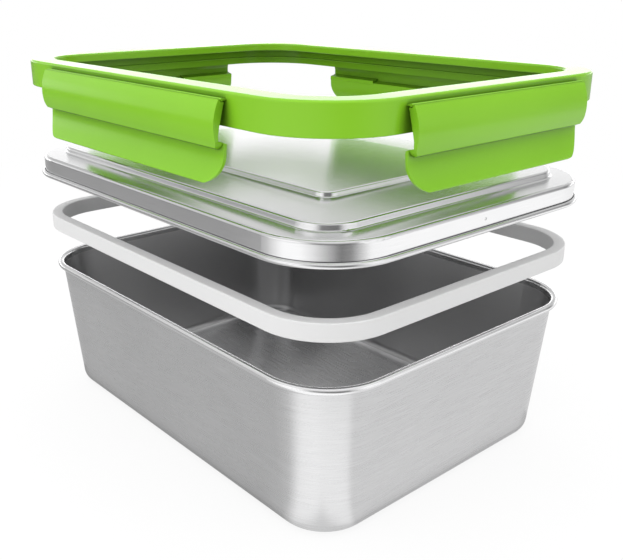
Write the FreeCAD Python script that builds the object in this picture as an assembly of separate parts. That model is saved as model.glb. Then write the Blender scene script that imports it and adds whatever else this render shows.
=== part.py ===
"""Clip-top lunch box: pressed steel tray, silicone seal, pressed steel lid and a moulded clip frame.

Millimetres, +Z up, long side along X. The origin is the middle of the tray's flat base. The pieces
stand lifted apart, one above the other, and each lift is the slide that puts its piece back on its
seat. The frame carries four latches, which turn on film hinges and hook under the tray's rim.
"""

import FreeCAD, Part
import math
import os

from FreeCAD import Vector

# Tray, pressed from sheet with a rolled rim
RIM_LENGTH = 200.0  # over the rolled rim
RIM_WIDTH = 150.0
RIM_CORNER = 26.8
TRAY_HEIGHT = 62.8
TRAY_SHEET = 0.6
WALL_DRAFT = 5.2  # degrees that the wall leans out
BASE_FILLET = 5.6
FLOOR_MARGIN = 8.0  # flat floor that the wall's pressing brings with it, inside the fillet
RIM_ROLL = 1.4  # outer radius of the roll
RIM_ROLL_END = -112.0  # degrees at which the rolled edge stops, short of the wall

# Seal
SEAL_WIDTH = 4.7
SEAL_HEIGHT = 6.7
SEAL_OVERHANG = 0.5  # seal's outside beyond the rim's outside
SEAL_EDGE = 0.5

# Lid, pressed from sheet with a rolled hem
LID_SHEET = 0.6
SKIRT_CLEARANCE = 0.3  # seal to the inside of the skirt
SKIRT_HEIGHT = 8.8  # bottom of the hem to the ledge
HEM_ROLL = 1.05
HEM_ROLL_END = 95.0  # degrees at which the hem stops, short of the skirt
LEDGE_FOLD = 1.4
LEDGE_WIDTH = 10.7
FOLD_MARGIN = 2.0  # flat sheet that each fold brings with it
PLATFORM_HEIGHT = 2.7
PLATFORM_CORNER = 14.0
PLATFORM_FOLD = 1.0
PLATFORM_LEAN = 0.5  # how far the platform's low wall leans in
PANEL_LENGTH = 129.0
PANEL_WIDTH = 81.5
PANEL_CORNER = 5.5
PANEL_HEIGHT = 1.9
PANEL_FOLD = 0.6
PANEL_LEAN = 0.3
DIMPLE_WIDTH = 1.2  # small round dimple in the middle of each short side of the skirt
DIMPLE_DEPTH = 0.25
DIMPLE_HEIGHT = 4.8  # above the bottom of the hem

# Clip frame, moulded
FRAME_OUTSET = 3.1  # outer wall beyond the rim's outside
FRAME_HEIGHT = 10.8
FRAME_WALL = 1.1
FRAME_TOP_WIDTH = 10.2
FRAME_TOP_SKIN = 1.8
INNER_WALL = 1.5
INNER_WALL_HEIGHT = 3.5
FRAME_EDGE = 0.9
SNAP_RIB = 0.25
SNAP_RIB_HEIGHT = 3.2

# Latches, and the film hinges that join them to the frame
LONG_LATCH = 118.8  # on the two long sides
SHORT_LATCH = 91.0  # on the two short sides
HINGE_OUTSET = 1.7  # hinge axis from the frame's wall
HINGE_DROP = 2.4  # hinge axis below the frame's top
HINGE_BEAD = 0.5
HINGE_CLEARANCE = 0.25
HINGE_WALL = 0.6
FILM = 0.5
CLIP_ANGLE = 18.0  # degrees in, from where the latch hangs to where it is clipped
OPEN_ANGLE = 135.0  # degrees out, from where the latch hangs to where it stops
BULGE = 5.15  # outer face from the frame's wall, where it stands out most
BULGE_DROP = 11.4
FOOT = 4.1  # the same at the upper panel's lower edge
FOOT_DROP = 17.1
FOOT_CORNER = 4.0
LIP_ROOT = 1.5  # the same where the lip starts, under the upper panel
ROOT_DROP = 18.2
LIP_FLARE = 4.75  # the same at the lip's lower edge
LIP_DROP = 29.0
LIP_CORNER = 9.0
LIP_WALL = 1.1
HOOK_LENGTH = 31.0  # each of the two hook ribs
HOOK_HOLD = 0.8  # hook under the rolled rim when clipped
HOOK_REACH = 3.4  # hook rib's top, from its tip to the back of the upper panel
HOOK_DEPTH = 1.9

# Fits
SEAT_GAP = 0.1
MOVING_GAP = 0.3
MOULD_EDGE = 0.4  # small rounding of a moulded edge

# How far each piece stands lifted off its seat
SEAL_LIFT = 16.4
LID_LIFT = 26.3
FRAME_LIFT = 37.3

# Places that follow from the sizes
FRAME_LENGTH = RIM_LENGTH + 2 * FRAME_OUTSET
FRAME_WIDTH = RIM_WIDTH + 2 * FRAME_OUTSET
FRAME_CORNER = RIM_CORNER + FRAME_OUTSET
SKIRT_INSIDE = SEAL_OVERHANG + SKIRT_CLEARANCE
HEM_OUTSIDE = SKIRT_INSIDE + 2 * HEM_ROLL
SEAL_Z = TRAY_HEIGHT + SEAT_GAP + SEAL_LIFT
LID_Z = SEAL_Z + SEAL_HEIGHT + SEAT_GAP + LID_SHEET - SKIRT_HEIGHT + LID_LIFT
FRAME_Z = LID_Z + 2 * HEM_ROLL + SEAT_GAP + FRAME_LIFT

UP = Vector(0, 0, 1)


# Outlines


def arc_mid(start, end, centre):
    """The point half way along the short arc from start to end."""
    middle = (start + end) * 0.5 - centre
    return centre + middle * ((start - centre).Length / middle.Length)


def outline(corners):
    """Closed face from (x, y, radius) corners, each rounded by its radius; lies in the XY plane."""
    points = [Vector(x, y, 0) for x, y, _ in corners]
    cuts = []
    for i, (_, _, radius) in enumerate(corners):
        to_last = (points[i - 1] - points[i]).normalize()
        to_next = (points[(i + 1) % len(points)] - points[i]).normalize()
        half = to_last.getAngle(to_next) / 2
        reach = radius / math.tan(half)
        bisector = (to_last + to_next).normalize()
        centre = points[i] + bisector * (radius / math.sin(half))
        cuts.append((points[i] + to_last * reach, points[i] + to_next * reach, centre, radius))
    edges = []
    for i, (start, end, centre, radius) in enumerate(cuts):
        if radius > 0:
            edges.append(Part.Arc(start, arc_mid(start, end, centre), end).toShape())
        following = cuts[(i + 1) % len(cuts)][0]
        if (following - end).Length > 1e-6:
            edges.append(Part.makeLine(end, following))
    return Part.Face(Part.Wire(edges))


def rounded_face(length, width, corner, z):
    x, y = length / 2, width / 2
    face = outline([(x, y, corner), (-x, y, corner), (-x, -y, corner), (x, -y, corner)])
    face.translate(Vector(0, 0, z))
    return face


def rounded_plate(length, width, corner, z, thickness):
    return rounded_face(length, width, corner, z).extrude(UP * thickness)


def polar(centre, radius, degrees):
    turn = math.radians(degrees)
    return centre + Vector(radius * math.cos(turn), radius * math.sin(turn), 0)


def roll(centre, radius, sheet, first, last):
    """Cross-section of a rolled sheet edge: a band that follows a circle from one angle to another."""
    middle = (first + last) / 2
    inner = radius - sheet
    outer_arc = Part.Arc(*(polar(centre, radius, a) for a in (first, middle, last)))
    inner_arc = Part.Arc(*(polar(centre, inner, a) for a in (last, middle, first)))
    ends = [
        Part.makeLine(polar(centre, radius, last), polar(centre, inner, last)),
        Part.makeLine(polar(centre, inner, first), polar(centre, radius, first)),
    ]
    return Part.Face(Part.Wire([outer_arc.toShape(), ends[0], inner_arc.toShape(), ends[1]]))


def ring(section, length, width, corner):
    """Carries a section round a rounded rectangle.

    The section's x is the distance outside the rectangle and its y is the height.
    """
    straight_x = length / 2 - corner
    straight_y = width / 2 - corner
    side = section.copy()
    side.rotate(Vector(), Vector(1, 0, 0), 90)
    side.translate(Vector(length / 2, straight_y, 0))
    axis = Vector(straight_x, straight_y, 0)
    end = side.copy()
    end.rotate(axis, UP, 90)
    quarter = [
        side.extrude(Vector(0, -straight_y, 0)),
        side.revolve(axis, UP, 90),
        end.extrude(Vector(-straight_x, 0, 0)),
    ]
    half = quarter + [piece.mirror(Vector(), Vector(1, 0, 0)) for piece in quarter]
    whole = half + [piece.mirror(Vector(), Vector(0, 1, 0)) for piece in half]
    return whole[0].multiFuse(whole[1:]).removeSplitter()


def rim_ring(section):
    return ring(section, RIM_LENGTH, RIM_WIDTH, RIM_CORNER)


# Tray


def tray():
    draft = math.radians(WALL_DRAFT)
    lean = Vector(math.sin(draft), math.cos(draft), 0)
    centre = Vector(-RIM_ROLL, TRAY_HEIGHT - RIM_ROLL, 0)
    inner_top = polar(centre, RIM_ROLL, 180 - WALL_DRAFT)
    outer_top = polar(centre, RIM_ROLL - TRAY_SHEET, 180 - WALL_DRAFT)
    outer_foot = outer_top - lean * (outer_top.y / lean.y)
    inner_foot = inner_top - lean * ((inner_top.y - TRAY_SHEET) / lean.y)
    floor_edge = outer_foot.x - BASE_FILLET - FLOOR_MARGIN
    wall = outline(
        [
            (floor_edge, 0, 0),
            (outer_foot.x, 0, BASE_FILLET),
            (outer_top.x, outer_top.y, 0),
            (inner_top.x, inner_top.y, 0),
            (inner_foot.x, inner_foot.y, BASE_FILLET - TRAY_SHEET),
            (floor_edge, TRAY_SHEET, 0),
        ]
    )
    rolled = roll(centre, RIM_ROLL, TRAY_SHEET, 180 - WALL_DRAFT, RIM_ROLL_END)
    floor = rounded_plate(
        RIM_LENGTH + 2 * floor_edge, RIM_WIDTH + 2 * floor_edge, RIM_CORNER + floor_edge, 0, TRAY_SHEET
    )
    return rim_ring(wall).multiFuse([rim_ring(rolled), floor]).removeSplitter()


# Seal


def seal():
    outside, inside = SEAL_OVERHANG, SEAL_OVERHANG - SEAL_WIDTH
    low, high = SEAL_Z, SEAL_Z + SEAL_HEIGHT
    return rim_ring(
        outline(
            [
                (inside, low, SEAL_EDGE),
                (outside, low, SEAL_EDGE),
                (outside, high, SEAL_EDGE),
                (inside, high, SEAL_EDGE),
            ]
        )
    )


# Lid


def grown(rectangle, by):
    """A rounded rectangle, as (length, width, corner), made larger all round."""
    length, width, corner = rectangle
    return length + 2 * by, width + 2 * by, corner + by


def pressed_step(low, rise, lean, fold):
    """Cross-section of the sheet where it steps up, with x from the foot of the step."""
    high = low + rise
    return outline(
        [
            (FOLD_MARGIN, low, 0),
            (0, low, fold - LID_SHEET / 2),
            (-lean, high, fold),
            (-lean - FOLD_MARGIN, high, 0),
            (-lean - FOLD_MARGIN, high - LID_SHEET, 0),
            (-lean - LID_SHEET, high - LID_SHEET, fold - LID_SHEET / 2),
            (-LID_SHEET, low - LID_SHEET, fold),
            (FOLD_MARGIN, low - LID_SHEET, 0),
        ]
    )


def skirt_section(ledge_edge):
    outer, inner = SKIRT_INSIDE + LID_SHEET, SKIRT_INSIDE
    return outline(
        [
            (outer, HEM_ROLL, 0),
            (outer, SKIRT_HEIGHT, LEDGE_FOLD),
            (ledge_edge, SKIRT_HEIGHT, 0),
            (ledge_edge, SKIRT_HEIGHT - LID_SHEET, 0),
            (inner, SKIRT_HEIGHT - LID_SHEET, LEDGE_FOLD - LID_SHEET),
            (inner, HEM_ROLL, 0),
        ]
    )


def flat_sheet(outside, inside, top):
    """Level sheet between two rounded rectangles."""
    low = top - LID_SHEET
    return rounded_plate(*outside, low, LID_SHEET).cut(rounded_plate(*inside, low, LID_SHEET))


def dimples():
    """Balls that press the dimples into the middle of the skirt's two short sides."""
    radius = ((DIMPLE_WIDTH / 2) ** 2 + DIMPLE_DEPTH**2) / (2 * DIMPLE_DEPTH)
    reach = RIM_LENGTH / 2 + SKIRT_INSIDE + LID_SHEET + radius - DIMPLE_DEPTH
    return [Part.makeSphere(radius, Vector(x, 0, DIMPLE_HEIGHT)) for x in (-reach, reach)]


def lid():
    outer = SKIRT_INSIDE + LID_SHEET
    platform_level = SKIRT_HEIGHT + PLATFORM_HEIGHT
    panel_level = platform_level + PANEL_HEIGHT
    ledge_edge = outer - LEDGE_FOLD - FOLD_MARGIN
    rim = (RIM_LENGTH, RIM_WIDTH, RIM_CORNER)
    platform = grown(rim, outer - LEDGE_WIDTH)[:2] + (PLATFORM_CORNER,)
    panel = (PANEL_LENGTH, PANEL_WIDTH, PANEL_CORNER)
    middle = grown(panel, -PANEL_LEAN - FOLD_MARGIN)
    hem = roll(Vector(SKIRT_INSIDE + HEM_ROLL, HEM_ROLL, 0), HEM_ROLL, LID_SHEET, -180, HEM_ROLL_END)
    pieces = [
        rim_ring(hem),
        flat_sheet(grown(rim, ledge_edge), grown(platform, FOLD_MARGIN), SKIRT_HEIGHT),
        ring(pressed_step(SKIRT_HEIGHT, PLATFORM_HEIGHT, PLATFORM_LEAN, PLATFORM_FOLD), *platform),
        flat_sheet(grown(platform, -PLATFORM_LEAN - FOLD_MARGIN), grown(panel, FOLD_MARGIN), platform_level),
        ring(pressed_step(platform_level, PANEL_HEIGHT, PANEL_LEAN, PANEL_FOLD), *panel),
        rounded_plate(*middle, panel_level - LID_SHEET, LID_SHEET),
    ]
    body = rim_ring(skirt_section(ledge_edge)).multiFuse(pieces).removeSplitter().cut(dimples())
    body.translate(Vector(0, 0, LID_Z))
    return body


# Clip frame


def clip_frame():
    """Moulded ring, open underneath: thin outer wall with a snap rib inside, flat top, short inner wall."""
    top, skin = FRAME_HEIGHT, FRAME_HEIGHT - FRAME_TOP_SKIN
    inside = -FRAME_TOP_WIDTH
    rib = SNAP_RIB_HEIGHT
    section = outline(
        [
            (0, 0, MOULD_EDGE),
            (0, top, FRAME_EDGE),
            (inside, top, FRAME_EDGE),
            (inside, top - INNER_WALL_HEIGHT, MOULD_EDGE),
            (inside + INNER_WALL, top - INNER_WALL_HEIGHT, MOULD_EDGE),
            (inside + INNER_WALL, skin, MOULD_EDGE),
            (-FRAME_WALL, skin, MOULD_EDGE),
            (-FRAME_WALL, rib + SNAP_RIB, 0),
            (-FRAME_WALL - SNAP_RIB, rib, 0),
            (-FRAME_WALL, rib - SNAP_RIB, 0),
            (-FRAME_WALL, 0, 0),
        ]
    )
    body = ring(section, FRAME_LENGTH, FRAME_WIDTH, FRAME_CORNER)
    body.translate(Vector(0, 0, FRAME_Z))
    return body


# Latches: drawn with x outwards from the frame's wall and y up from the frame's bottom

AXIS = Vector(HINGE_OUTSET, FRAME_HEIGHT - HINGE_DROP, 0)
GROOVE = HINGE_BEAD + HINGE_CLEARANCE
BARREL = GROOVE + HINGE_WALL
FOOT_LEVEL = FRAME_HEIGHT - FOOT_DROP
ROOT_LEVEL = FRAME_HEIGHT - ROOT_DROP


def hanging(x, y):
    """Where a place on the clipped latch comes to when the latch hangs unclipped."""
    turn = math.radians(CLIP_ANGLE)
    dx, dy = x - AXIS.x, y - AXIS.y
    return Vector(
        AXIS.x + dx * math.cos(turn) - dy * math.sin(turn),
        AXIS.y + dx * math.sin(turn) + dy * math.cos(turn),
        0,
    )


def lip_edges():
    """Front, round lower edge and back of the lip, which curves outwards from straight down at its root."""
    half = LIP_WALL / 2
    middle = Vector(LIP_ROOT - half, ROOT_LEVEL, 0)
    tip = Vector(LIP_FLARE - half, FRAME_HEIGHT - LIP_DROP + half, 0)
    across, down = tip.x - middle.x, middle.y - tip.y
    radius = (across**2 + down**2) / (2 * across)
    centre = middle + Vector(radius, 0, 0)
    sweep = math.degrees(math.asin(down / radius))
    lower = polar(Vector(), half, 180 + sweep + 90)
    faces = []
    for reach in (radius - half, radius + half):
        faces.append([polar(centre, reach, 180 + share * sweep) for share in (0, 0.5, 1)])
    front, back = faces
    return [Part.Arc(*front), Part.Arc(front[2], tip + lower, back[2]), Part.Arc(*reversed(back))]


def latch_section():
    """Barrel round the hinge bead, bulging upper panel and hollow lip, without the hook."""
    hem_edge = HEM_OUTSIDE - FRAME_OUTSET + MOVING_GAP
    wall_face = hanging(MOVING_GAP, 0)
    hem_face = hanging(hem_edge, -2 * HEM_ROLL)
    foot = [
        Vector(FOOT, FOOT_LEVEL + MOULD_EDGE, 0),
        polar(Vector(FOOT - MOULD_EDGE, FOOT_LEVEL + MOULD_EDGE, 0), MOULD_EDGE, -45),
        Vector(FOOT - MOULD_EDGE, FOOT_LEVEL, 0),
    ]
    panel = [Vector(AXIS.x + BARREL, AXIS.y, 0), Vector(BULGE, FRAME_HEIGHT - BULGE_DROP, 0), foot[0]]
    rest = [
        Vector(LIP_ROOT - LIP_WALL, ROOT_LEVEL, 0),
        Vector(LIP_ROOT - LIP_WALL, ROOT_LEVEL + LIP_WALL, 0),
        Vector(hem_face.x, FOOT_LEVEL + LIP_WALL, 0),
        hem_face,
        wall_face,
        Vector(AXIS.x - GROOVE, AXIS.y - GROOVE, 0),
        AXIS,
        panel[0],
    ]
    underside = Part.LineSegment(foot[2], Vector(LIP_ROOT, ROOT_LEVEL, 0))
    edges = [Part.Arc(*panel), Part.Arc(*foot), underside] + lip_edges()
    edges += [Part.LineSegment(a, b) for a, b in zip(rest, rest[1:])]
    body = Part.Face(Part.Wire([edge.toShape() for edge in edges])).fuse(disc(AXIS, BARREL))
    return body.cut(disc(AXIS, GROOVE)).cut(web_sweep())


def disc(centre, radius):
    return Part.Face(Part.Wire(Part.makeCircle(radius, centre, Vector(0, 0, 1))))


def web_sweep():
    """The wedge, seen from the latch, that the film hinge's web passes through."""
    half_web = math.degrees(math.asin((FILM / 2 + MOVING_GAP / 2) / GROOVE))
    first = 180 - OPEN_ANGLE - half_web
    last = 180 + CLIP_ANGLE + half_web
    rim = [polar(AXIS, 2 * BARREL, angle) for angle in (first, (first + last) / 2, last)]
    sides = [Part.LineSegment(AXIS, rim[0]), Part.Arc(*rim), Part.LineSegment(rim[2], AXIS)]
    return Part.Face(Part.Wire([side.toShape() for side in sides]))


def hook_section():
    """Rib behind the lip's root: its tip comes up under the tray's rolled rim when the latch is clipped."""
    rim_bottom = TRAY_HEIGHT - 2 * RIM_ROLL
    frame_seat = FRAME_Z - FRAME_LIFT - LID_LIFT - SEAL_LIFT
    hook_top = rim_bottom - frame_seat - MOVING_GAP
    tip = hanging(-FRAME_OUTSET - HOOK_HOLD, hook_top)
    root = hanging(HOOK_REACH - FRAME_OUTSET - HOOK_HOLD, hook_top)
    return outline(
        [
            (tip.x, tip.y, MOULD_EDGE),
            (root.x, root.y, 0),
            (root.x, FOOT_LEVEL + LIP_WALL / 2, 0),
            (LIP_ROOT - LIP_WALL / 2, tip.y - HOOK_DEPTH, 0),
            (tip.x, tip.y - HOOK_DEPTH, MOULD_EDGE),
        ]
    )


def along_side(section, first, last):
    """Extrudes a latch section along X from first to last, with its outside towards -Y and its y upwards."""
    body = section.copy()
    body.rotate(Vector(), Vector(1, 0, 0), 90)
    body.rotate(Vector(), UP, -90)
    body.translate(Vector(first, 0, 0))
    return body.extrude(Vector(last - first, 0, 0))


def front_view(length, bottom, corner, inside, outside):
    """Block with a latch's outline as seen from outside, its two lower corners rounded."""
    half = length / 2
    face = outline(
        [(half, bottom, corner), (half, FRAME_HEIGHT, 0), (-half, FRAME_HEIGHT, 0), (-half, bottom, corner)]
    )
    face.rotate(Vector(), Vector(1, 0, 0), 90)
    face.translate(Vector(0, -inside, 0))
    return face.extrude(Vector(0, inside - outside, 0))


def latch(length):
    end = length / 2
    spans = ((-end, HOOK_LENGTH - end), (end - HOOK_LENGTH, end))
    hooks = [along_side(hook_section(), first, last) for first, last in spans]
    body = along_side(latch_section(), -end, end).multiFuse(hooks)
    body = body.common(front_view(length, FRAME_HEIGHT - LIP_DROP, LIP_CORNER, 0, BULGE + LIP_FLARE))
    square = front_view(length, ROOT_LEVEL, 0, LIP_ROOT, BULGE)
    rounded = front_view(length, ROOT_LEVEL, FOOT_CORNER, LIP_ROOT, BULGE)
    return body.cut(square.cut(rounded)).removeSplitter()


def film_hinge(length):
    """Thin web that stands out from the frame's wall, with the round bead that the latch turns on."""
    web = outline(
        [
            (0, AXIS.y - FILM / 2, 0),
            (AXIS.x, AXIS.y - FILM / 2, 0),
            (AXIS.x, AXIS.y + FILM / 2, 0),
            (0, AXIS.y + FILM / 2, 0),
        ]
    )
    section = web.fuse(disc(AXIS, HINGE_BEAD)).removeSplitter()
    return along_side(section, -length / 2, length / 2)


def on_side(body, quarter_turns):
    """Moves a piece drawn at the origin to one side of the frame: 0 front, 1 right, 2 back, 3 left."""
    half = FRAME_LENGTH / 2 if quarter_turns % 2 else FRAME_WIDTH / 2
    moved = body.copy()
    moved.translate(Vector(0, -half, FRAME_Z))
    moved.rotate(Vector(), UP, 90 * quarter_turns)
    return moved


def model():
    nodes = {"tray": tray(), "seal": seal(), "lid": lid(), "clip_frame": clip_frame()}
    for turns, side in enumerate(("front", "right", "back", "left")):
        length = SHORT_LATCH if turns % 2 else LONG_LATCH
        nodes["film_hinge_" + side] = on_side(film_hinge(length), turns)
        nodes["latch_" + side] = on_side(latch(length), turns)
    return nodes


os.makedirs("parts", exist_ok=True)
for name, shape in model().items():
    shape.exportStep("parts/" + name + ".step")
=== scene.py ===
"""Clip-top lunch box: finishes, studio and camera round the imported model."""

import math

import bpy
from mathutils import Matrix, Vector


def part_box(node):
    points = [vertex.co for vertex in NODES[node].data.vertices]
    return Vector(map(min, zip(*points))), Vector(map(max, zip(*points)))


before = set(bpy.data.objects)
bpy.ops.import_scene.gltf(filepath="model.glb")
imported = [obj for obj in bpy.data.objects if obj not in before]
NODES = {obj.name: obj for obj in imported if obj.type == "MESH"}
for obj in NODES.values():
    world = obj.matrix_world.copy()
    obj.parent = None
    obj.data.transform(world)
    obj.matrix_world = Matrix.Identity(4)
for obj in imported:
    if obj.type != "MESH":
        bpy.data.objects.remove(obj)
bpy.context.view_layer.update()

SIDES = ("front", "right", "back", "left")

# Shapes of the tray that its finish and the floor follow
RIM_CORNER = 0.0268
RIM_ROLL = 0.0029
BASE_INSET = 0.006  # base inside the rim's outline

# Colours, linear
TRAY_STEEL = (0.70, 0.70, 0.705)
LID_STEEL = (0.80, 0.80, 0.805)
SILICONE = (0.76, 0.76, 0.76)
GREEN = (0.238, 0.555, 0.022)
WHITE = (1, 1, 1, 1)

# Noise takes scales in cells per metre. Tones are spread over this part of its range, as the rest is rare
NOISE_RANGE = (0.3, 0.7)

# A wall faces inwards where the middle of the object is in front of it, and fully so from this far
INWARD_REACH = 0.02
TRAY_INSIDE_PAINTED_SHADE = 0.76  # painted shade: share of the colour that inward walls keep, in the tray and in the clip frame
FRAME_INSIDE_PAINTED_SHADE = 0.84

# Brushed steel
GRAIN_ALONG = 80  # noise scale along the brushing
GRAIN_ACROSS = 2000
GRAIN_DETAIL = 4.0
GRAIN_ROUGHNESS = 0.65
GRAIN_INSIDE = 0.15  # share of the brushing that shows on inward walls
GRAIN_STRETCH = 0.7  # anisotropy, which draws highlights out across the brushing
SCUFFS = (0.93, 1.08)  # least and most share of the roughness, from line to line
STEEL_CLOUD = 14.0  # broad unevenness, and the shades it spreads over
STEEL_WEAR = (0.96, 1.03)
LEVEL_SLOPE = 0.75  # a face counts as level where its normal's Z is above this, and is a little paler, a painted light
LEVEL_PAINTED_LIGHT = 1.15

# Polished steel, paler as a painted highlight, and the height over which brushing gives way to it
POLISHED_PAINTED_HIGHLIGHT = 1.2
POLISHED_ROUGHNESS = 0.2
POLISHED_STRETCH = 0.2
POLISHED_BLEND = 0.0004

# Silicone seal
SPECKLE = 1800.0  # fine bumps
SPECKLE_STRENGTH = 0.2
SPECKLE_DEPTH = 0.00005
SILICONE_CLOUD = 25.0  # broad unevenness, and the darkest shade in it
SILICONE_SHADE = 0.96
SILICONE_ROUGHNESS = 0.55
SILICONE_SOFTNESS = 0.1  # light that passes under the surface, and how far it goes in each colour
SILICONE_REACH = (0.002, 0.002, 0.002)

# Green plastic of the clip frame and the latches
SKIN = 900.0  # fine bumps
SKIN_STRENGTH = 0.08
SKIN_DEPTH = 0.00004
PLASTIC_CLOUD = 20.0  # broad unevenness, and the shades and the roughness it spreads over
PLASTIC_WEAR = (0.96, 1.02)
PLASTIC_ROUGHNESS = (0.16, 0.24)
PLASTIC_GLOSS = 0.38
PLASTIC_SHEEN = (1, 1, 0.86, 1)  # tint of the gloss
PLASTIC_SOFTNESS = 0.08
PLASTIC_REACH = (0.001, 0.002, 0.0005)
HOLLOW_REACH = 0.016  # painted shade: hollows narrower than this are darker
HOLLOW_PAINTED_SHADE = 0.48
HOLLOW_OPEN = (0.5, 0.9)  # openness to the outside at which that shade is full, and at which it ends
HOLLOW_SAMPLES = 8

# Surroundings: azimuth and elevation in degrees, half-angles of the even core and the faded rim, strength
AMBIENT = 0.2
GLOWS = (
    (0, 90, 35, 80, 0.7),
    (-52, 5, 5, 35, 0.5),
    (-5, 6, 5, 40, 1.0),
    (115, 6, 5, 40, 0.9),
)
# Pale backdrop low behind the object: azimuth, half-angles of its core and rim, then bands that go from
# full to none between two heights, given as sines, each with its strength
BACKDROP_AZIMUTH = -131
BACKDROP_SPREAD = (45, 75)
BACKDROP_BANDS = ((0.125, 0.155, 1.7), (0.235, 0.45, 0.6))

# Lamps, which are left out of reflections: name, azimuth, elevation, distance, size, power in watts
LAMPS = (
    ("top_softbox", 20, 86, 1.0, (2.0, 2.0), 11.5),
    ("left_softbox", -20, 10, 1.0, (0.9, 0.6), 1.2),
    ("front_softbox", 30, 8, 1.1, (0.7, 0.5), 1.4),
    ("right_softbox", 105, 8, 1.0, (0.8, 0.5), 0.7),
)

FLOOR_SIZE = 12
# Floor as polished faces see it, a glow that paints their reflections: strength by azimuth in degrees,
# close to the object and further out
FLOOR_PEAK = 1.4
FLOOR_START = -90  # azimuth of a radial gradient's start
FLOOR_NEAR = (
    (-90, 0.55), (-40, 0.55), (-12, 0.66), (8, 1.12), (33, 1.2), (72, 1.14), (84, 1.1), (93, 0.83),
    (117, 0.82), (180, 0.8), (270, 0.55),
)
FLOOR_FAR = (
    (-90, 0.42), (-51, 0.36), (-30, 0.88), (-12, 1.3), (12, 1.28), (30, 1.0), (64, 0.22), (78, 0.32),
    (105, 1.2), (150, 1.25), (200, 0.9), (270, 0.42),
)
FLOOR_CHANGE = (0.2, 0.34)  # distance over which the near pattern gives way to the far one
FLOOR_FALL = (0.6, 1.3)  # distance over which the floor's painted glow grows greyer, as a floor does away from its lamps
FLOOR_REMOTE = 0.5
CONTACT_SHADE = 0.7  # floor right beside the base, darker by a painted contact shadow
CONTACT_REACH = 0.005
# Floor as the camera and matt faces see it
SHADOW_PAINT = (0.9, 0.9, 0.9, 1)
SHADOW_SHARE = 0.15  # how much of the floor's white is painted, and so takes the object's shadow
SHADOW_REACH = (0.2, 0.6)
BOUNCE_PAINT = (0.6, 0.6, 0.6, 1)

# Camera: its lens in pixels of the image, its place round AIM in degrees and metres
IMAGE_WIDTH = 623
FOCAL_PIXELS = 813.4
SENSOR = 36.0
CLIP = (0.01, 20)
AZIMUTH = 49.09
ELEVATION = 19.58
DISTANCE = 0.36714
AIM = Vector((0, 0, 0.0625))
SHIFT = (0.0305, -0.0135)


def direction(azimuth, elevation):
    """Unit vector from the object towards a viewer at that azimuth and elevation, in degrees."""
    turn, rise = math.radians(azimuth), math.radians(elevation)
    return Vector((math.sin(turn) * math.cos(rise), -math.cos(turn) * math.cos(rise), math.sin(rise)))


def cosine(degrees):
    return math.cos(math.radians(degrees))


def set_facing(item, azimuth, elevation, distance):
    """Put a camera or lamp in the scene that far from AIM, and turn it towards AIM."""
    back = direction(azimuth, elevation)
    item.location = AIM + back * distance
    item.rotation_mode = "QUATERNION"
    item.rotation_quaternion = (-back).to_track_quat("-Z", "Y")
    bpy.context.scene.collection.objects.link(item)


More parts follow.
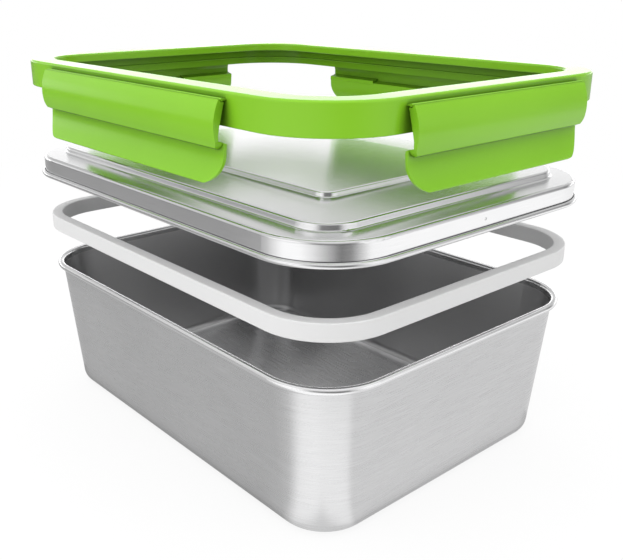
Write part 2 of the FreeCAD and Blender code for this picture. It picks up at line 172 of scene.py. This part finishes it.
class Nodes:
    """Short way to build a node tree. What its methods take as a source is a socket or a plain value."""

    def __init__(self, tree):
        self.tree = tree
        tree.nodes.clear()

    def feed(self, socket, source):
        if isinstance(source, bpy.types.NodeSocket):
            self.tree.links.new(source, socket)
        else:
            socket.default_value = source

    def add(self, kind, links=None, **values):
        node = self.tree.nodes.new(kind)
        for name, value in values.items():
            setattr(node, name, value)
        for socket, source in (links or {}).items():
            self.feed(node.inputs[socket], source)
        return node

    def mix(self, kind, factor, low, high):
        """From low at factor 0 to high at factor 1; each kind of data has sockets of its own."""
        node = self.add("ShaderNodeMix", {0: factor}, data_type=kind)
        first, result = {"FLOAT": (2, 0), "VECTOR": (4, 1), "RGBA": (6, 2)}[kind]
        self.feed(node.inputs[first], low)
        self.feed(node.inputs[first + 1], high)
        return node.outputs[result]

    def mix_shaders(self, factor, first, second):
        return self.add("ShaderNodeMixShader", {0: factor, 1: first, 2: second}).outputs[0]

    def span(self, value, low, high, to_low, to_high):
        """Map one range to another in a straight line, and hold the ends."""
        links = {0: value, 1: low, 2: high, 3: to_low, 4: to_high}
        return self.add("ShaderNodeMapRange", links).outputs[0]

    def fade(self, value, low, high, to_low, to_high):
        """Map one range to another with soft ends."""
        links = {0: value, 1: low, 2: high, 3: to_low, 4: to_high}
        return self.add("ShaderNodeMapRange", links, interpolation_type="SMOOTHSTEP").outputs[0]

    def sum(self, first, second):
        return self.add("ShaderNodeMath", {0: first, 1: second}, operation="ADD").outputs[0]

    def product(self, first, second):
        return self.add("ShaderNodeMath", {0: first, 1: second}, operation="MULTIPLY").outputs[0]

    def tinted(self, colour, tone):
        return self.add("ShaderNodeVectorMath", {0: colour, "Scale": tone}, operation="SCALE").outputs[0]

    def place(self):
        return self.add("ShaderNodeTexCoord").outputs["Object"]

    def normal(self):
        return self.add("ShaderNodeNewGeometry").outputs["Normal"]

    def noise(self, place, scale, detail=2.0, roughness=0.5):
        links = {"Vector": place, "Scale": scale, "Detail": detail, "Roughness": roughness}
        return self.add("ShaderNodeTexNoise", links).outputs[0]

    def spread(self, noise, low, high):
        """Spread a noise from low to high."""
        return self.span(noise, *NOISE_RANGE, low, high)

    def bump(self, height, strength, depth):
        links = {"Height": height, "Strength": strength, "Distance": depth}
        return self.add("ShaderNodeBump", links).outputs[0]

    def facing(self, toward, azimuth, elevation):
        """Cosine of the angle between a direction and the one at that azimuth and elevation."""
        links = {0: toward, 1: direction(azimuth, elevation)}
        return self.add("ShaderNodeVectorMath", links, operation="DOT_PRODUCT").outputs["Value"]

    def flattened(self, vector):
        return self.add("ShaderNodeVectorMath", {0: vector, 1: (1, 1, 0)}, operation="MULTIPLY").outputs[0]

    def length(self, vector):
        return self.add("ShaderNodeVectorMath", {0: vector}, operation="LENGTH").outputs["Value"]

    def clearance(self, place, half_length, half_width):
        """Level distance outside a rectangle about the origin."""
        folded = self.add("ShaderNodeVectorMath", {0: place}, operation="ABSOLUTE").outputs[0]
        edge = (half_length, half_width, 1)
        past = self.add("ShaderNodeVectorMath", {0: folded, 1: edge}, operation="SUBTRACT").outputs[0]
        outside = self.add("ShaderNodeVectorMath", {0: past, 1: (0, 0, 0)}, operation="MAXIMUM")
        return self.length(outside.outputs[0])

    def inward(self, place, normal, share):
        """The share on walls that face the middle of the object, and 1 elsewhere."""
        links = {0: normal, 1: self.flattened(place)}
        outward = self.add("ShaderNodeVectorMath", links, operation="DOT_PRODUCT").outputs["Value"]
        return self.fade(outward, -INWARD_REACH, 0.0, share, 1.0)

    def by_azimuth(self, place, stops):
        """Strength that changes with azimuth round the vertical axis, as a share of FLOOR_PEAK."""
        turn = self.add("ShaderNodeTexGradient", {0: place}, gradient_type="RADIAL").outputs[1]
        ramp = self.add("ShaderNodeValToRGB", {0: turn})
        elements = ramp.color_ramp.elements
        while len(elements) < len(stops):
            elements.new(0.5)
        for element, (azimuth, strength) in zip(elements, stops):
            element.position = (azimuth - FLOOR_START) / 360
            element.color = [strength / FLOOR_PEAK] * 3 + [1]
        return ramp.outputs[0]


def new_material(name):
    material = bpy.data.materials.new(name)
    material.use_nodes = True
    return material, Nodes(material.node_tree)


# Studio


def make_camera():
    data = bpy.data.cameras.new("camera")
    data.sensor_width = SENSOR
    data.lens = FOCAL_PIXELS / IMAGE_WIDTH * SENSOR
    data.shift_x, data.shift_y = SHIFT
    data.clip_start, data.clip_end = CLIP
    camera = bpy.data.objects.new("camera", data)
    set_facing(camera, AZIMUTH, ELEVATION, DISTANCE)
    bpy.context.scene.camera = camera


def make_lamps():
    for name, azimuth, elevation, distance, size, power in LAMPS:
        data = bpy.data.lights.new(name, "AREA")
        data.shape = "RECTANGLE"
        data.size, data.size_y = size
        data.energy = power
        lamp = bpy.data.objects.new(name, data)
        lamp.visible_glossy = False
        set_facing(lamp, azimuth, elevation, distance)


def make_world():
    """Soft grey surroundings, brighter in a few broad directions; the camera sees plain white instead."""
    world = bpy.data.worlds.new("studio")
    bpy.context.scene.world = world
    world.use_nodes = True
    nodes = Nodes(world.node_tree)
    toward = nodes.add("ShaderNodeTexCoord").outputs["Generated"]
    total = AMBIENT
    for azimuth, elevation, core, rim, strength in GLOWS:
        near = nodes.facing(toward, azimuth, elevation)
        total = nodes.sum(nodes.fade(near, cosine(rim), cosine(core), 0.0, strength), total)
    flat = nodes.flattened(toward)
    level = nodes.add("ShaderNodeVectorMath", {0: flat}, operation="NORMALIZE").outputs[0]
    core, rim = BACKDROP_SPREAD
    behind = nodes.fade(nodes.facing(level, BACKDROP_AZIMUTH, 0), cosine(rim), cosine(core), 0.0, 1.0)
    height = nodes.add("ShaderNodeSeparateXYZ", {0: toward}).outputs["Z"]
    for full, none, strength in BACKDROP_BANDS:
        band = nodes.fade(height, full, none, strength, 0.0)
        total = nodes.sum(nodes.product(band, behind), total)
    light = nodes.add("ShaderNodeBackground", {"Color": WHITE, "Strength": total})
    white = nodes.add("ShaderNodeBackground", {"Color": WHITE, "Strength": 1.0})
    seen = nodes.add("ShaderNodeLightPath").outputs["Is Camera Ray"]
    surface = nodes.mix_shaders(seen, light.outputs[0], white.outputs[0])
    nodes.add("ShaderNodeOutputWorld", {"Surface": surface})


def painted_floor_reflections(nodes, place, distance):
    """A glow that paints the floor's reflections: a pattern by azimuth about the arc of the tray's front
    right corner, with a painted contact shadow beside the base.
    """
    low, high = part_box("tray")
    corner = (high[0] - RIM_CORNER, low[1] + RIM_CORNER, 0)
    around = nodes.add("ShaderNodeVectorMath", {0: place, 1: corner}, operation="SUBTRACT").outputs[0]
    out = nodes.fade(distance, *FLOOR_CHANGE, 0.0, 1.0)
    close, beyond = nodes.by_azimuth(around, FLOOR_NEAR), nodes.by_azimuth(around, FLOOR_FAR)
    pattern = nodes.mix("RGBA", out, close, beyond)
    # painted contact shadow beside the base
    beside = nodes.clearance(place, high[0] - BASE_INSET, high[1] - BASE_INSET)
    contact = nodes.fade(beside, 0.0, CONTACT_REACH, CONTACT_SHADE, 1.0)
    remote = nodes.fade(distance, *FLOOR_FALL, FLOOR_PEAK, FLOOR_PEAK * FLOOR_REMOTE)
    links = {"Color": pattern, "Strength": nodes.product(contact, remote)}
    return nodes.add("ShaderNodeEmission", links).outputs[0]


def floor_in_camera(nodes, distance):
    """Plain white, with a share of paint near the object that takes its shadow."""
    glow = nodes.add("ShaderNodeEmission", {"Color": WHITE, "Strength": 1.0}).outputs[0]
    paint = nodes.add("ShaderNodeBsdfDiffuse", {"Color": SHADOW_PAINT}).outputs[0]
    return nodes.mix_shaders(nodes.fade(distance, *SHADOW_REACH, SHADOW_SHARE, 0.0), glow, paint)


def make_floor():
    bpy.ops.mesh.primitive_plane_add(size=FLOOR_SIZE, location=(0, 0, 0))
    floor = bpy.context.object
    floor.name = "floor"
    material, nodes = new_material("floor")
    place = nodes.place()
    distance = nodes.length(place)
    ray = nodes.add("ShaderNodeLightPath").outputs
    bounce = nodes.add("ShaderNodeBsdfDiffuse", {"Color": BOUNCE_PAINT}).outputs[0]
    # glossy rays see the floor's painted glow
    unseen = nodes.mix_shaders(ray["Is Glossy Ray"], bounce, painted_floor_reflections(nodes, place, distance))
    surface = nodes.mix_shaders(ray["Is Camera Ray"], unseen, floor_in_camera(nodes, distance))
    nodes.add("ShaderNodeOutputMaterial", {"Surface": surface})
    floor.data.materials.append(material)


# Finishes


def brushing(nodes, place, level):
    """Noise drawn out level round the walls, and along X on level faces."""
    on_walls = (GRAIN_ALONG, GRAIN_ALONG, GRAIN_ACROSS)
    on_flats = (GRAIN_ALONG, GRAIN_ACROSS, GRAIN_ALONG)
    walls = nodes.add("ShaderNodeMapping", {"Vector": place, "Scale": on_walls}).outputs[0]
    flats = nodes.add("ShaderNodeMapping", {"Vector": place, "Scale": on_flats}).outputs[0]
    return nodes.noise(nodes.mix("VECTOR", level, walls, flats), 1.0, GRAIN_DETAIL, GRAIN_ROUGHNESS)


def brushed_steel(name, colour, roughness, streak, depth, inside=1.0, polished_above=None):
    """Steel with fine brushing, polished above a height if one is given.

    Walls that face inwards take the share of the colour called inside, a painted shade, and show less of
    the brushing.
    """
    material, nodes = new_material(name)
    place = nodes.place()
    normal = nodes.normal()
    upward = nodes.add("ShaderNodeSeparateXYZ", {0: normal}).outputs["Z"]
    slope = nodes.add("ShaderNodeMath", {0: upward}, operation="ABSOLUTE").outputs[0]
    level = nodes.add("ShaderNodeMath", {0: slope, 1: LEVEL_SLOPE}, operation="GREATER_THAN").outputs[0]
    lines = brushing(nodes, place, level)
    marked = nodes.inward(place, normal, GRAIN_INSIDE)
    scuffs = nodes.spread(lines, roughness * SCUFFS[0], roughness * SCUFFS[1])
    shade = nodes.mix("FLOAT", marked, 1.0, nodes.spread(lines, 1 - streak, 1 + streak))
    rough = nodes.mix("FLOAT", marked, roughness, scuffs)
    stretch = GRAIN_STRETCH
    if polished_above is not None:
        height = nodes.add("ShaderNodeSeparateXYZ", {0: place}).outputs["Z"]
        brushed = nodes.fade(height, polished_above - POLISHED_BLEND, polished_above, 1.0, 0.0)
        # painted highlight: the polished rim is paler
        shade = nodes.mix("FLOAT", brushed, POLISHED_PAINTED_HIGHLIGHT, shade)
        rough = nodes.mix("FLOAT", brushed, POLISHED_ROUGHNESS, rough)
        stretch = nodes.span(brushed, 0.0, 1.0, POLISHED_STRETCH, GRAIN_STRETCH)
    wear = nodes.spread(nodes.noise(place, STEEL_CLOUD), *STEEL_WEAR)
    # painted light and shade: level faces a little paler, inward walls darker
    painted_light_and_shade = nodes.mix("FLOAT", level, nodes.inward(place, normal, inside), LEVEL_PAINTED_LIGHT)
    shader = nodes.add("ShaderNodeBsdfPrincipled", {
        "Base Color": nodes.tinted(colour, nodes.product(nodes.product(shade, wear), painted_light_and_shade)),
        "Metallic": 1.0,
        "Roughness": rough,
        "Anisotropic": stretch,
        "Tangent": nodes.mix("VECTOR", level, (0, 0, 1), (0, 1, 0)),
        "Normal": nodes.bump(lines, marked, depth),
    })
    nodes.add("ShaderNodeOutputMaterial", {"Surface": shader.outputs[0]})
    return material


def silicone():
    """Matt rubber with fine speckle and a faintly uneven tone."""
    material, nodes = new_material("silicone")
    place = nodes.place()
    shaded = [channel * SILICONE_SHADE for channel in SILICONE]
    shader = nodes.add("ShaderNodeBsdfPrincipled", {
        "Base Color": nodes.mix("RGBA", nodes.noise(place, SILICONE_CLOUD), (*shaded, 1), (*SILICONE, 1)),
        "Roughness": SILICONE_ROUGHNESS,
        "Subsurface Weight": SILICONE_SOFTNESS,
        "Subsurface Radius": SILICONE_REACH,
        "Normal": nodes.bump(nodes.noise(place, SPECKLE), SPECKLE_STRENGTH, SPECKLE_DEPTH),
    })
    nodes.add("ShaderNodeOutputMaterial", {"Surface": shader.outputs[0]})
    return material


def green_plastic(name, inside=1.0):
    """Glossy moulded plastic with a faint skin texture and painted shade in its hollows.

    Walls that face inwards take the share of the colour called inside, a painted shade.
    """
    material, nodes = new_material(name)
    place = nodes.place()
    cloud = nodes.noise(place, PLASTIC_CLOUD)
    # painted shade: ambient occlusion darkens the colour in hollows and under overhangs
    hollows = nodes.add("ShaderNodeAmbientOcclusion", {"Distance": HOLLOW_REACH}, samples=HOLLOW_SAMPLES)
    shade = nodes.span(hollows.outputs["AO"], *HOLLOW_OPEN, HOLLOW_PAINTED_SHADE, 1.0)
    wear_and_painted_shade = nodes.product(nodes.spread(cloud, *PLASTIC_WEAR), shade)
    # painted shade: inward walls keep only a share of the colour
    tone = nodes.product(wear_and_painted_shade, nodes.inward(place, nodes.normal(), inside))
    shader = nodes.add("ShaderNodeBsdfPrincipled", {
        "Base Color": nodes.tinted(GREEN, tone),
        "Roughness": nodes.spread(cloud, *PLASTIC_ROUGHNESS),
        "Specular IOR Level": PLASTIC_GLOSS,
        "Specular Tint": PLASTIC_SHEEN,
        "Subsurface Weight": PLASTIC_SOFTNESS,
        "Subsurface Radius": PLASTIC_REACH,
        "Normal": nodes.bump(nodes.noise(place, SKIN), SKIN_STRENGTH, SKIN_DEPTH),
    })
    nodes.add("ShaderNodeOutputMaterial", {"Surface": shader.outputs[0]})
    return material


def finish_nodes():
    tray_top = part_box("tray")[1][2]
    latch_green = green_plastic("latch_green")
    finishes = {
        "tray": brushed_steel(
            "tray_steel", TRAY_STEEL, roughness=0.28, streak=0.07, depth=0.0000025,
            inside=TRAY_INSIDE_PAINTED_SHADE, polished_above=tray_top - RIM_ROLL),
        "lid": brushed_steel("lid_steel", LID_STEEL, roughness=0.19, streak=0.03, depth=0.0000012),
        "seal": silicone(),
        "clip_frame": green_plastic("frame_green", FRAME_INSIDE_PAINTED_SHADE),
    }
    for side in SIDES:
        finishes["film_hinge_" + side] = latch_green
        finishes["latch_" + side] = latch_green
    for name, material in finishes.items():
        node = NODES[name]
        node.data.materials.clear()
        node.data.materials.append(material)


bpy.context.scene.view_settings.view_transform = "Standard"
make_camera()
make_world()
make_lamps()
make_floor()
finish_nodes()
